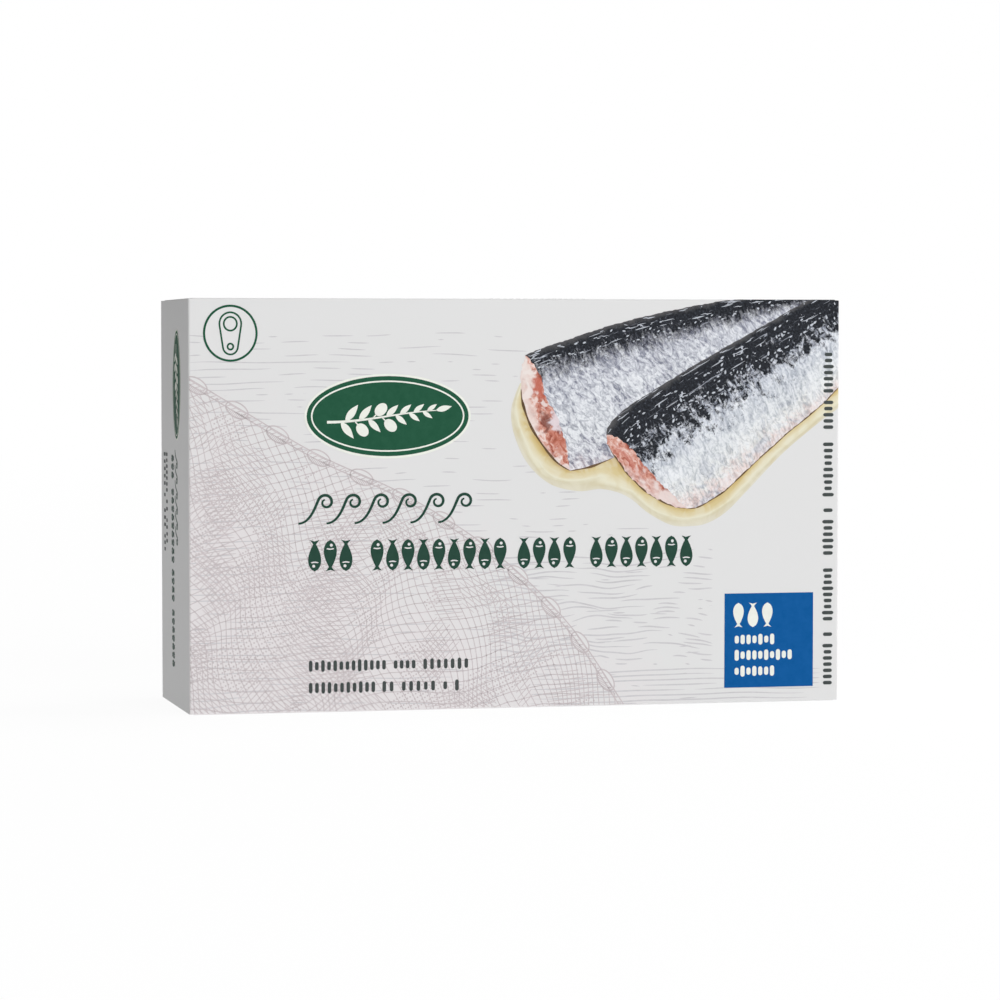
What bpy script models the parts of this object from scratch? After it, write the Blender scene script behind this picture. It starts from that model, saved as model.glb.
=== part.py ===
"""A shut paperboard carton for a rectangular sardine tin, standing on one of its long narrow sides.

Frame: +X along the carton's length, -Y out of the printed front, +Z up. The origin is the middle of
the footprint. Units are metres. The carton is folded from one sheet and glued shut, so it is one solid.
"""

import math

import bmesh
import bpy

MM = 0.001

# The carton as it stands: length along X, depth along Y, height along Z.
LENGTH = 104.5 * MM
DEPTH = 30.0 * MM
HEIGHT = 64.0 * MM

# The board and how it folds.
BOARD = 0.45 * MM
FOLD_RADIUS = 0.65 * MM
FOLD_STEPS = 5

# The outer end flaps hinge on the front and are glued over the ends.
# They are cut a little narrower than the end, so that they clear the folds beside them.
FLAP_SIDE_INSET = 0.35 * MM
FLAP_REAR_INSET = 0.60 * MM
DUST_FOLD_RADIUS = 0.50 * MM

# The back panel laps over the glue flap and stops short of the rear bottom fold.
SEAM_HEIGHT = 0.75 * MM

# How far a cutter or a profile reaches past what it cuts.
OVERSHOOT = 5.0 * MM

BOARD_COLOUR = (0.79, 0.79, 0.79, 1.0)
BOARD_ROUGHNESS = 0.42


def clear_scene():
    for obj in list(bpy.data.objects):
        bpy.data.objects.remove(obj)


def arc(centre, radius, start, end, steps=FOLD_STEPS):
    """Points of an arc from the start angle to the end angle, both in degrees."""
    points = []
    for step in range(steps + 1):
        angle = math.radians(start + (end - start) * step / steps)
        points.append((centre[0] + radius * math.cos(angle), centre[1] + radius * math.sin(angle)))
    return points


def prism(name, outline, place, low, high):
    """A closed prism: the flat outline, set in space by place(a, b, along), drawn out from low to high."""
    mesh = bpy.data.meshes.new(name)
    build = bmesh.new()
    rings = []
    for along in (low, high):
        rings.append([build.verts.new(place(a, b, along)) for a, b in outline])
    count = len(outline)
    build.faces.new(rings[0][::-1])
    build.faces.new(rings[1])
    for i in range(count):
        j = (i + 1) % count
        build.faces.new((rings[0][i], rings[0][j], rings[1][j], rings[1][i]))
    bmesh.ops.recalc_face_normals(build, faces=build.faces)
    build.to_mesh(mesh)
    build.free()
    obj = bpy.data.objects.new(name, mesh)
    bpy.context.scene.collection.objects.link(obj)
    return obj


def girth_outline():
    """The wrapped board seen from the end, as (y, z), with the step of the glued seam at the rear bottom."""
    front, back = -DEPTH / 2, DEPTH / 2
    r = FOLD_RADIUS
    seam_back = back - BOARD
    outline = []
    outline += arc((front + r, r), r, 270, 180)
    outline += arc((front + r, HEIGHT - r), r, 180, 90)
    outline += arc((back - r, HEIGHT - r), r, 90, 0)
    outline += [(back, SEAM_HEIGHT), (seam_back, SEAM_HEIGHT)]
    outline += arc((seam_back - r, r), r, 0, -90)
    return outline


def plan_outline():
    """The ends seen from above, as (x, y): front folds, outer flaps, and the rear folds that they stop short of."""
    end, front, back = LENGTH / 2, -DEPTH / 2, DEPTH / 2
    inner_end = end - BOARD
    r, dust = FOLD_RADIUS, DUST_FOLD_RADIUS
    flap_stop = back - FLAP_REAR_INSET
    outline = []
    outline += arc((end - r, front + r), r, 270, 360)
    outline += [(end, flap_stop), (inner_end, flap_stop)]
    outline += arc((inner_end - dust, back - dust), dust, 0, 90)
    outline += arc((-inner_end + dust, back - dust), dust, 90, 180)
    outline += [(-inner_end, flap_stop), (-end, flap_stop)]
    outline += arc((-end + r, front + r), r, 180, 270)
    return outline


def as_cutter(obj):
    obj.hide_render = True
    obj.display_type = "WIRE"
    return obj


def boolean(obj, other, operation):
    modifier = obj.modifiers.new(operation.title() + "_" + other.name, "BOOLEAN")
    modifier.operation = operation
    modifier.solver = "EXACT"
    modifier.object = other


def flap_edge_cutter(name, side, level, up):
    """A strip past the cut edge of an outer flap, at the top or the bottom of one end."""
    inner = side * (LENGTH / 2 - BOARD)
    outer = side * (LENGTH / 2 + OVERSHOOT)
    near = level
    far = level + up * OVERSHOOT
    outline = [(inner, near), (outer, near), (outer, far), (inner, far)]
    reach = DEPTH / 2 + OVERSHOOT
    cutter = prism(name, outline, lambda a, b, along: (a, along, b), -reach, reach)
    return as_cutter(cutter)


def board_material():
    material = bpy.data.materials.new("coated_board")
    material.use_nodes = True
    shader = material.node_tree.nodes["Principled BSDF"]
    shader.inputs["Base Color"].default_value = BOARD_COLOUR
    shader.inputs["Roughness"].default_value = BOARD_ROUGHNESS
    shader.inputs["Metallic"].default_value = 0.0
    material.diffuse_color = BOARD_COLOUR
    return material


def carton():
    """The shut carton: the wrapped girth cut to the plan of its ends, with the edges of the glued flaps."""
    reach = LENGTH / 2 + OVERSHOOT
    body = prism("carton", girth_outline(), lambda a, b, along: (along, a, b), -reach, reach)
    plan = prism(
        "plan_of_ends", plan_outline(), lambda a, b, along: (a, b, along), -OVERSHOOT, HEIGHT + OVERSHOOT
    )
    boolean(body, as_cutter(plan), "INTERSECT")
    for side, side_name in ((-1, "left"), (1, "right")):
        top = flap_edge_cutter("top_gap_" + side_name, side, HEIGHT - FLAP_SIDE_INSET, 1)
        bottom = flap_edge_cutter("bottom_gap_" + side_name, side, FLAP_SIDE_INSET, -1)
        boolean(body, top, "DIFFERENCE")
        boolean(body, bottom, "DIFFERENCE")
    body.data.materials.append(board_material())
    return body


def main():
    clear_scene()
    carton()


main()
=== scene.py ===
# Carton of a flat sardine tin: the folded board and everything printed on it.
import math
import random
import bmesh
import bpy
from mathutils import Matrix, Vector, noise


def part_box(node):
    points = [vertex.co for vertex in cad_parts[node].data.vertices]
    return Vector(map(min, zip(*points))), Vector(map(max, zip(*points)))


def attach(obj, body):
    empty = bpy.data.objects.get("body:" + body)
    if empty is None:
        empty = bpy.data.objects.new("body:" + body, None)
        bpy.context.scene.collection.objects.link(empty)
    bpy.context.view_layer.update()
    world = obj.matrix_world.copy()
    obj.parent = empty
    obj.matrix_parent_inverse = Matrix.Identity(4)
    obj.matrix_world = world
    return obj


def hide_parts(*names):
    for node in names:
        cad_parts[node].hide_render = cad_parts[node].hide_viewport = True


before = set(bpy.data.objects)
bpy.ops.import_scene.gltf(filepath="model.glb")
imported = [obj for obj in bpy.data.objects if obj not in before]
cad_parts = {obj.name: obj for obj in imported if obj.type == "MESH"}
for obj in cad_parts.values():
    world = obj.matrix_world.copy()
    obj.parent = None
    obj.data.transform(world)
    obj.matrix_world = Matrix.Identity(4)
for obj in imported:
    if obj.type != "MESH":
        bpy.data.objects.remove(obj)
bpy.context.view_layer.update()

mm = 0.001
cadLow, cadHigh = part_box("carton")
length = (cadHigh.x - cadLow.x) / mm     # along X, seen from the front
depth = (cadHigh.y - cadLow.y) / mm      # along Y, front to back
height = (cadHigh.z - cadLow.z) / mm     # along Z
print("frame: carton %.1f x %.1f x %.1f mm" % (length, depth, height))


# Flat and folded board
# Everything printed is drawn flat in millimetres: u runs right along the front, v runs up it.
# v goes on over the top (height), the back (height + depth), and under the bottom (below 0).
# u goes on over the end flaps, below 0 on the left and past length on the right.
blank = {
    "board": 0.45,       # thickness of the coated board
    "crease": 0.34,      # outer radius of the creases round the front, top and back
    "tuck": 0.34,        # outer radius where the inner flaps fold in
    "tuckGap": 0.02,     # play between an inner flap and the outer one
    "creaseCuts": 6,     # strips in each rounded crease
    "bowCuts": 5.5,      # spacing of the cuts that let the panels bow
    "flapSide": 0.13,    # the outer flaps are narrower than the front by this at each end
    "flapRear": 0.60,    # and stop this far short of the back
    "seam": 0.75,        # the back panel ends this far above the ground
    "glueFlap": 12.0,    # the bottom folds up inside the back by this much
    "dustFlap": 3.0,     # what shows of the inner flaps of top and bottom
    "innerFlap": 25.0,   # inner flaps of the back
    "crown": 0.20,       # how far the large panels bow out
    "ripple": 0.05,      # unevenness of the panels
    "rippleSize": 38.0,
}

bottomReach = depth - blank["board"] - 0.02
innerReach = length / 2 - blank["board"] - blank["tuckGap"]
creaseRadius = blank["crease"]
flapTurn = math.asin(1 - blank["flapSide"] / creaseRadius) / (math.pi / 2)
flapLimit = creaseRadius * (1 - 2 * flapTurn)      # v where the outer flaps begin
flapReach = depth - blank["flapRear"]
backEnd = 2 * height + depth - blank["seam"]
creaseTurns = [       # v of the crease, centre of its round in y and z, facing below it in degrees
    (-bottomReach, bottomReach - depth / 2 - creaseRadius, creaseRadius, 360),
    (0, creaseRadius - depth / 2, creaseRadius, 270),
    (height, creaseRadius - depth / 2, height - creaseRadius, 180),
    (height + depth, depth / 2 - creaseRadius, height - creaseRadius, 90),
]
panels = [            # u and v limits, share of the crown
    (0, length, 0, height, 1.0),
    (0, length, height, height + depth, 0.2),
    (0, length, height + depth, 2 * height + depth, 1.0),
    (0, length, -depth, 0, 0.4),
    (-depth, 0, 0, height, 0.5),
    (length, length + depth, 0, height, 0.5),
]


def bowOut(u, v):
    for u0, u1, v0, v1, share in panels:
        if u0 <= u <= u1 and v0 <= v <= v1:
            a = (u - u0) / (u1 - u0)
            b = (v - v0) / (v1 - v0)
            window = 16 * a * (1 - a) * b * (1 - b)
            ripple = noise.noise(Vector((u, v, 7.0)) / blank["rippleSize"])
            return window ** 0.7 * (share * blank["crown"] + ripple * blank["ripple"])
    return 0.0


def roundGirth(v, sunk):
    # y and z of a point that lies "sunk" below the board's face
    start, cy, cz, facing = creaseTurns[0]
    start -= 2 * creaseRadius
    for place, roundY, roundZ, below in creaseTurns:
        if v < place - creaseRadius:
            break
        start, cy, cz, facing = place, roundY, roundZ, below - 90
        if v <= place + creaseRadius:
            facing = below - 90 * (v - place + creaseRadius) / (2 * creaseRadius)
            start = v - creaseRadius
            break
    turn = math.radians(facing)
    run = v - start - creaseRadius
    out = creaseRadius - sunk
    y = cy + out * math.cos(turn) + run * math.sin(turn)
    z = cz + out * math.sin(turn) - run * math.cos(turn)
    return y, z


def roundEnd(across, sunk, reach, radius):
    # x, and how far in from the panel's face, across a crease at the panel's end
    turn = abs(across) - (reach - radius)
    if turn <= 0:
        return across, sunk
    if turn >= 2 * radius:
        return math.copysign(reach - sunk, across), abs(across) - reach
    angle = turn / (2 * radius) * math.pi / 2
    x = reach - radius + (radius - sunk) * math.sin(angle)
    return math.copysign(x, across), radius - (radius - sunk) * math.cos(angle)


def foldPoint(u, v, lift, onFront):
    across = u - length / 2
    sunk = -lift - bowOut(u, v)
    if not onFront:
        x, inward = roundEnd(across, sunk, innerReach, blank["tuck"])
        y, z = roundGirth(v, inward)
        return Vector((x, y, z)) * mm
    x, inward = roundEnd(across, sunk, length / 2, creaseRadius)
    y, z = roundGirth(v, sunk)
    if abs(across) > length / 2 - creaseRadius:
        z = roundGirth(v, 0)[1]
    return Vector((x, max(y, inward - depth / 2), z)) * mm


def cutLines(low, high, creases, spacing):
    lines = []
    for place, radius in creases:
        steps = blank["creaseCuts"]
        lines += [place - radius + 2 * radius * i / steps for i in range(steps + 1)]
        lines.append(place)
    count = max(1, int((high - low) / spacing))
    lines += [low + (high - low) * i / count for i in range(1, count)]
    return [line for line in sorted(set(lines)) if low < line < high]


dieCuts = ([-flapReach, length + flapReach], [flapLimit, height - flapLimit, backEnd])


def cutFlat(flat):
    # cuts where the board bends, so that a flat piece can follow it
    us = [vert.co.x for vert in flat.verts]
    vs = [vert.co.y for vert in flat.verts]
    spans = ((min(us), max(us)), (min(vs), max(vs)))
    tuck = blank["tuck"]
    endCreases = [(0, creaseRadius), (length, creaseRadius)]
    endCreases += [(length / 2 - innerReach, tuck), (length / 2 + innerReach, tuck)]
    girthCreases = [(turn[0], creaseRadius) for turn in creaseTurns]
    for axis, creases in ((0, endCreases), (1, girthCreases)):
        low, high = spans[axis]
        for place in cutLines(-200, 300, creases, blank["bowCuts"]) + dieCuts[axis]:
            if not low < place < high:
                continue
            at = Vector((0, 0, 0))
            at[axis] = place
            across = Vector((0, 0, 0))
            across[axis] = 1
            everything = flat.verts[:] + flat.edges[:] + flat.faces[:]
            bmesh.ops.bisect_plane(flat, geom=everything, dist=1e-5, plane_co=at, plane_no=across)


def clipFlat(flat, axis, place, keepBelow):
    at = Vector((0, 0, 0))
    at[axis] = place
    across = Vector((0, 0, 0))
    across[axis] = 1
    everything = flat.verts[:] + flat.edges[:] + flat.faces[:]
    bmesh.ops.bisect_plane(flat, geom=everything, dist=1e-5, plane_co=at, plane_no=across,
                           clear_outer=keepBelow, clear_inner=not keepBelow)


def onBoard(u, v):
    # whether print at this place lies on an outside face of the folded board
    if 0 <= u <= length and 0 <= v <= height:
        return True
    if 0 <= v <= height:
        return flapLimit < v < height - flapLimit and -flapReach < u < length + flapReach
    return abs(u - length / 2) < innerReach and -bottomReach < v < backEnd


def addObject(name, data):
    item = bpy.data.objects.new(name, data)
    bpy.context.scene.collection.objects.link(item)
    return item


def foldSheet(name, flat, topLift, bottomLift, material, rimMaterial=None, trim=True):
    # folds a flat drawing into a closed thin sheet between two heights over the board's face
    bmesh.ops.triangulate(flat, faces=[f for f in flat.faces if len(f.verts) > 4])
    for face in flat.faces:
        if face.normal.z < 0:
            face.normal_flip()
    cutFlat(flat)
    along = flat.verts.layers.float.get("along")
    across = flat.verts.layers.float.get("across")
    tops, bottoms, places, index, faces = [], [], [], {}, []
    for face in flat.faces:
        if face.calc_area() < 1e-7:
            continue
        middle = face.calc_center_median()
        if trim and not onBoard(middle.x, middle.y):
            continue
        onFront = 0 < middle.y < height
        ring = []
        for vert in face.verts:
            u, v = vert.co.x, vert.co.y
            top = foldPoint(u, v, topLift, onFront)
            key = tuple(round(c / mm, 4) for c in top)
            if key not in index:
                index[key] = len(tops)
                tops.append(top)
                bottoms.append(foldPoint(u, v, bottomLift, onFront))
                places.append((vert[along], vert[across]) if along else (u * mm, v * mm))
            if index[key] not in ring:
                ring.append(index[key])
        if len(ring) > 2:
            faces.append(ring)
    edges = {}
    for ring in faces:
        for a, b in zip(ring, ring[1:] + ring[:1]):
            edges[(a, b)] = edges.get((a, b), 0) + 1
    count = len(tops)
    solid = list(faces) + [[i + count for i in reversed(ring)] for ring in faces]
    rims = [(b, a, a + count, b + count) for a, b in edges if (b, a) not in edges]
    mesh = bpy.data.meshes.new(name)
    mesh.from_pydata(tops + bottoms, [], solid + rims)
    mesh.materials.append(material)
    if rimMaterial:
        mesh.materials.append(rimMaterial)
        for polygon in mesh.polygons[len(faces):]:
            polygon.material_index = 1
    uvMap = mesh.uv_layers.new(name="flat")
    for loop in mesh.loops:
        uvMap.data[loop.index].uv = places[loop.vertex_index % count]
    piece = addObject(name, mesh)
    flat.free()
    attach(piece, "root")
    print("piece: %s, %d faces" % (name, len(mesh.polygons)))
    return piece


# Drawing in the flat
def addPolygon(flat, points):
    return flat.faces.new([flat.verts.new((x, y, 0)) for x, y in points])


def addStroke(flat, points, widths, closed=False):
    # a line of the given width or widths along the points
    count = len(points)
    if not isinstance(widths, (list, tuple)):
        widths = [widths] * count
    left, right = [], []
    for i, (x, y) in enumerate(points):
        before = points[i - 1] if i or closed else points[i]
        after = points[(i + 1) % count] if i < count - 1 or closed else points[i]
        dx, dy = after[0] - before[0], after[1] - before[1]
        size = math.hypot(dx, dy) or 1
        nx, ny = -dy / size * widths[i] / 2, dx / size * widths[i] / 2
        left.append(flat.verts.new((x + nx, y + ny, 0)))
        right.append(flat.verts.new((x - nx, y - ny, 0)))
    for i in range(count if closed else count - 1):
        j = (i + 1) % count
        flat.faces.new((right[i], right[j], left[j], left[i]))


def oval(cx, cy, rx, ry, count=48, start=0.0, sweep=360.0):
    points = []
    for i in range(count):
        angle = math.radians(start + sweep * i / (count if sweep == 360.0 else count - 1))
        points.append((cx + rx * math.cos(angle), cy + ry * math.sin(angle)))
    return points


def smoothLine(points, steps=8, closed=False):
    # a Catmull-Rom line through the points
    count = len(points)
    smooth = []
    for i in range(count if closed else count - 1):
        if closed:
            p = [points[(i + k) % count] for k in (-1, 0, 1, 2)]
        else:
            p = [points[min(max(i + k, 0), count - 1)] for k in (-1, 0, 1, 2)]
        for step in range(steps):
            t = step / steps
            smooth.append(tuple(
                0.5 * (2 * p[1][c] + (p[2][c] - p[0][c]) * t
                       + (2 * p[0][c] - 5 * p[1][c] + 4 * p[2][c] - p[3][c]) * t ** 2
                       + (3 * p[1][c] - p[0][c] - 3 * p[2][c] + p[3][c]) * t ** 3)
                for c in (0, 1)))
    if not closed:
        smooth.append(tuple(points[-1]))
    return smooth


def pill(width, tall, count=5):
    # a bar with round ends, or a dot where it is as wide as tall
    radius = min(width, tall) / 2
    points = []
    for cx, cy, start in ((1, 1, 0), (-1, 1, 90), (-1, -1, 180), (1, -1, 270)):
        points += oval(cx * (width / 2 - radius), cy * (tall / 2 - radius),
                       radius, radius, count, start, 90.0)
    return [p for i, p in enumerate(points) if math.dist(p, points[i - 1]) > 1e-6]


def sardine(long, tall, count=16):
    # outline of a small fish, nose at the left, centred on its own middle
    upper = []
    for i in range(count + 1):
        t = i / count * 0.86
        half = tall / 2 * math.sin(math.pi * min(1.0, t / 0.93) ** 0.72) ** 0.85
        upper.append((t * long, max(half, tall * 0.07 * min(1, t * 8))))
    upper += [(long * 0.93, tall * 0.22), (long, tall * 0.38), (long * 0.955, tall * 0.02)]
    lower = [(x, -y) for x, y in reversed(upper[1:-1])]
    return [(x - long / 2, y) for x, y in upper + lower]


def placed(points, place):
    # moves drawn points to the panel: (u, v, turn in degrees, scale)
    u, v, turn, scale = place
    c, s = math.cos(math.radians(turn)) * scale, math.sin(math.radians(turn)) * scale
    return [(u + x * c - y * s, v + x * s + y * c) for x, y in points]


# Node trees. Colours are tuples from 0 to 255, and a plain number is a grey from 0 to 1.
def linear(r, g, b):
    return [((c / 255 + 0.055) / 1.055) ** 2.4 if c > 10 else c / 255 / 12.92 for c in (r, g, b)] + [1.0]


def shade(value):
    if isinstance(value, tuple):
        return linear(*value)
    return [value] * 3 + [1.0] if isinstance(value, (int, float)) else value


def feed(tree, node, sockets):
    # sets sockets to values, to other nodes' sockets, or to a node's first output
    for key, value in sockets.items():
        if isinstance(value, bpy.types.Node):
            value = value.outputs[0]
        if isinstance(value, bpy.types.NodeSocket):
            tree.links.new(value, node.inputs[key])
        elif value is not None:
            node.inputs[key].default_value = value


def addNode(tree, kind, sockets=None, **settings):
    # a kind that names no family is a geometry node
    family = "" if kind.startswith(("Shader", "Function", "Node")) else "GeometryNode"
    node = tree.nodes.new(family + kind)
    for name, value in settings.items():
        setattr(node, name, value)
    feed(tree, node, sockets or {})
    return node


def mathNode(tree, operation, first, second=None, third=None):
    return addNode(tree, "ShaderNodeMath", {0: first, 1: second, 2: third}, operation=operation).outputs[0]


def stretch(tree, value, factor, offset):
    return mathNode(tree, "MULTIPLY_ADD", value, factor, offset)


def noiseNode(tree, place, scale, detail, rough=0.5, distort=0.0):
    return addNode(tree, "ShaderNodeTexNoise", {"Vector": place, "Scale": scale, "Detail": detail,
                                                "Roughness": rough, "Distortion": distort}).outputs["Fac"]


def mappingNode(tree, place, **values):
    # a place measured from a location, in a turned frame, in units of the scale
    sockets = {"Vector": place, **{name.title(): value for name, value in values.items()}}
    return addNode(tree, "ShaderNodeMapping", sockets, vector_type="TEXTURE").outputs["Vector"]


def rampNode(tree, factor, *stops):
    node = addNode(tree, "ShaderNodeValToRGB", {"Fac": factor})
    elements = node.color_ramp.elements
    while len(elements) < len(stops):
        elements.new(0.5)
    for element, (place, colour) in zip(elements, stops):
        element.position = place
        element.color = shade(colour)
    return node.outputs["Color"]


def mixNode(tree, factor, first, second, blend="MIX"):
    return addNode(tree, "ShaderNodeMix", {"Factor": factor, 6: shade(first), 7: shade(second)},
                   data_type="RGBA", blend_type=blend).outputs[2]


def bumpNode(tree, height, strength, distance):
    sockets = {"Height": height, "Strength": strength, "Distance": distance * mm}
    return addNode(tree, "ShaderNodeBump", sockets)


def splitNode(tree, place):
    return addNode(tree, "ShaderNodeSeparateXYZ", {0: place}).outputs


def newMaterial(name):
    # a new material with its tree, its shader and the place on the object
    material = bpy.data.materials.new(name)
    material.use_nodes = True
    tree = material.node_tree
    place = addNode(tree, "ShaderNodeTexCoord").outputs["Object"]
    return material, tree, tree.nodes["Principled BSDF"], place


# Materials
coating = {
    "roughness": 0.46,    # satin varnish
    "spread": 0.08,
    "gloss": 0.06,
    "tooth": 2600.0,      # size of the board's tooth, per metre
    "peel": 260.0,        # slow unevenness of the varnish
    "bump": 0.10,
}


def varnished(material, tree, shader, place, colour):
    # what board and inks share: a colour under satin varnish, over the board's tooth
    tooth = noiseNode(tree, place, coating["tooth"], 3, 0.6)
    peel = noiseNode(tree, place, coating["peel"], 2)
    low = coating["roughness"] - coating["spread"] / 2
    feed(tree, shader, {
        "Base Color": colour, "Roughness": stretch(tree, peel, coating["spread"], low),
        "Specular IOR Level": coating["gloss"],
        "Normal": bumpNode(tree, stretch(tree, peel, 2.0, tooth), coating["bump"], 0.02)})
    return material


def inkMaterial(name, colour, mottle=0.05):
    # a printed colour: slightly uneven, as ink on board is
    material, tree, shader, place = newMaterial(name)
    base = linear(*colour)
    dark = [c * (1 - mottle) for c in base[:3]] + [1.0]
    light = [min(1, c * (1 + mottle) + 0.004) for c in base[:3]] + [1.0]
    cloud = noiseNode(tree, place, 900.0, 4, 0.6)
    return varnished(material, tree, shader, place, rampNode(tree, cloud, (0.3, dark), (0.7, light)))


printedGround = {
    "colour": (222, 222, 222),
    "blush": (225, 221, 222),     # soft tone under the engraved net, on front and back
    "down": -22.0, "left": -16.0, "start": 0.06,   # it grows downward and to the left, per metre
    "clouds": 1.1, "grain": 0.5,
    "faces": 0.3,                 # how near the front or back it has to be, in millimetres
}


def groundMaterial():
    material, tree, shader, place = newMaterial("printedGround")
    across, inward, up = splitNode(tree, place)
    mask = stretch(tree, up, printedGround["down"], printedGround["start"])
    mask = stretch(tree, across, printedGround["left"], mask)
    mask = stretch(tree, noiseNode(tree, place, 70.0, 5, 0.6), printedGround["clouds"], mask)
    mask = stretch(tree, noiseNode(tree, place, 1300.0, 3, 0.7), printedGround["grain"], mask)
    limit = (depth / 2 - printedGround["faces"]) * mm
    facing = mathNode(tree, "GREATER_THAN", mathNode(tree, "ABSOLUTE", inward), limit)
    mask = mathNode(tree, "MULTIPLY", mask, facing)
    return varnished(material, tree, shader, place,
                     rampNode(tree, mask, (0.35, printedGround["colour"]), (1.0, printedGround["blush"])))


def boardMaterial():
    # bare board, on cut edges and inside
    material, tree, shader, place = newMaterial("bareBoard")
    fibre = noiseNode(tree, place, 1800.0, 5, 0.7, 0.6)
    feed(tree, shader, {
        "Base Color": rampNode(tree, fibre, (0.25, (176, 172, 164)), (0.75, (214, 211, 204))),
        "Roughness": stretch(tree, fibre, 0.15, 0.78), "Normal": bumpNode(tree, fibre, 0.3, 0.03)})
    return material


inks = {
    "ground": groundMaterial(),
    "board": boardMaterial(),
    "green": inkMaterial("greenInk", (32, 84, 61)),
    "greenDark": inkMaterial("darkGreenInk", (38, 70, 58)),
    "grey": inkMaterial("greyInk", (70, 76, 75)),
    "cream": inkMaterial("creamInk", (232, 234, 226), 0.03),
    "blue": inkMaterial("blueInk", (3, 86, 152)),
    "silver": inkMaterial("silverInk", (190, 195, 204), 0.15),
    "engraved": inkMaterial("engravingInk", (199, 190, 192), 0.06),
    "engravedGrey": inkMaterial("greyEngravingInk", (202, 200, 203), 0.05),
}
print("materials: board and inks")


# Folded board
def makeBoard():
    flat = bmesh.new()
    edge = length / 2 - innerReach
    mitre = blank["tuck"] + 0.4

    def rectangle(u0, u1, v0, v1):
        addPolygon(flat, [(u0, v0), (u1, v0), (u1, v1), (u0, v1)])

    def innerFlaps(v0, v1, long):
        out = edge - blank["dustFlap"]
        cut0, cut1 = v0 + mitre + blank["dustFlap"], v1 - mitre - blank["dustFlap"]
        points = [(edge, v0 + mitre), (out, cut0), (out - long, cut0),
                  (out - long, cut1), (out, cut1), (edge, v1 - mitre)]
        if not long:
            points = [points[i] for i in (0, 1, 4, 5)]
        addPolygon(flat, points)
        addPolygon(flat, [(length - u, v) for u, v in reversed(points)])

    rectangle(0, length, 0, height)
    rectangle(-flapReach, 0, flapLimit, height - flapLimit)
    rectangle(length, length + flapReach, flapLimit, height - flapLimit)
    rectangle(edge, length - edge, height, height + depth)
    rectangle(edge, length - edge, height + depth, backEnd)
    rectangle(edge, length - edge, -bottomReach, 0)
    rectangle(4, length - 4, -bottomReach - blank["glueFlap"], -bottomReach)
    innerFlaps(height, height + depth, 0)
    innerFlaps(-bottomReach, 0, 0)
    innerFlaps(height + depth, backEnd, blank["innerFlap"])
    return foldSheet("cartonBoard", flat, 0.0, -blank["board"], inks["ground"], inks["board"], trim=False)


board = makeBoard()
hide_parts("carton")


# Geometry Nodes: shapes along words, strands with knots, engraved lines, scattered flecks
def newTree(name, **inputs):
    # a tree that takes a mesh and these inputs: objects, whole numbers and lengths
    tree = bpy.data.node_groups.new(name, "GeometryNodeTree")
    for way in ("OUTPUT", "INPUT"):
        tree.interface.new_socket("Geometry", in_out=way, socket_type="NodeSocketGeometry")
    kinds = {type(None): "Object", int: "Int", float: "Float"}
    for label, value in inputs.items():
        kind = "NodeSocket" + kinds[type(value)]
        socket = tree.interface.new_socket(label, in_out="INPUT", socket_type=kind)
        if value is not None:
            socket.default_value = value
    tree.interface.new_socket("ink", in_out="INPUT", socket_type="NodeSocketMaterial")
    return tree, tree.nodes.new("NodeGroupInput").outputs


def endTree(tree, geometry, ink):
    real = addNode(tree, "RealizeInstances", {0: geometry})
    inked = addNode(tree, "SetMaterial", {"Geometry": real, "Material": ink})
    addNode(tree, "NodeGroupOutput", {0: inked})
    return tree


def vectorNode(tree, **parts):
    return addNode(tree, "ShaderNodeCombineXYZ", {name.upper(): value for name, value in parts.items()})


def flatTurn(tree, angle):
    return addNode(tree, "FunctionNodeEulerToRotation", {0: vectorNode(tree, z=angle)})


def randomValue(tree, low, high, seed):
    return addNode(tree, "FunctionNodeRandomValue", {2: low, 3: high, 8: seed}, data_type="FLOAT").outputs[1]


def ribbon(tree, curve, width):
    ends = addNode(tree, "CurvePrimitiveLine", {"Start": (-0.5, 0, 0), "End": (0.5, 0, 0)})
    level = addNode(tree, "SetCurveNormal", {0: curve}, mode="Z_UP")
    return addNode(tree, "CurveToMesh", {"Curve": level, "Profile Curve": ends, "Scale": width})


def shapesAlongTree():
    # one shape after another along every line, in turn the one way and the other
    tree, given = newTree("shapesAlong", shape=None, spacing=1.0, turn=0.0, alternate=0.0,
                          tallLow=1.0, tallHigh=1.0, seed=1)
    curve = addNode(tree, "MeshToCurve", {0: given["Geometry"]})
    points = addNode(tree, "CurveToPoints", {"Curve": curve, "Length": given["spacing"]}, mode="LENGTH")
    shape = addNode(tree, "ObjectInfo", {"Object": given["shape"]}).outputs["Geometry"]
    ahead = points.outputs["Tangent"]
    facing = addNode(tree, "FunctionNodeAlignRotationToVector", {"Vector": ahead}, axis="X")
    odd = mathNode(tree, "MODULO", addNode(tree, "InputIndex"), 2.0)
    turn = flatTurn(tree, stretch(tree, odd, given["alternate"], given["turn"]))
    turned = addNode(tree, "FunctionNodeRotateRotation", {0: facing, 1: turn}, rotation_space="LOCAL")
    tall = randomValue(tree, given["tallLow"], given["tallHigh"], given["seed"])
    row = addNode(tree, "InstanceOnPoints", {"Points": points, "Instance": shape, "Rotation": turned,
                                             "Scale": vectorNode(tree, x=1.0, y=tall, z=1.0)})
    return endTree(tree, row, given["ink"])


def strandsTree():
    # every line of the mesh as a thin ribbon, with a knot at every point
    tree, given = newTree("strands", lineWidth=0.15, knot=0.2)
    curve = addNode(tree, "MeshToCurve", {0: given["Geometry"]})
    line = ribbon(tree, curve, given["lineWidth"])
    disc = addNode(tree, "MeshCircle", {"Vertices": 5, "Radius": given["knot"]}, fill_type="NGON")
    knots = addNode(tree, "InstanceOnPoints", {"Points": given["Geometry"], "Instance": disc})
    both = addNode(tree, "JoinGeometry", {0: line})
    feed(tree, both, {0: knots})
    return endTree(tree, both, given["ink"])


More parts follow.
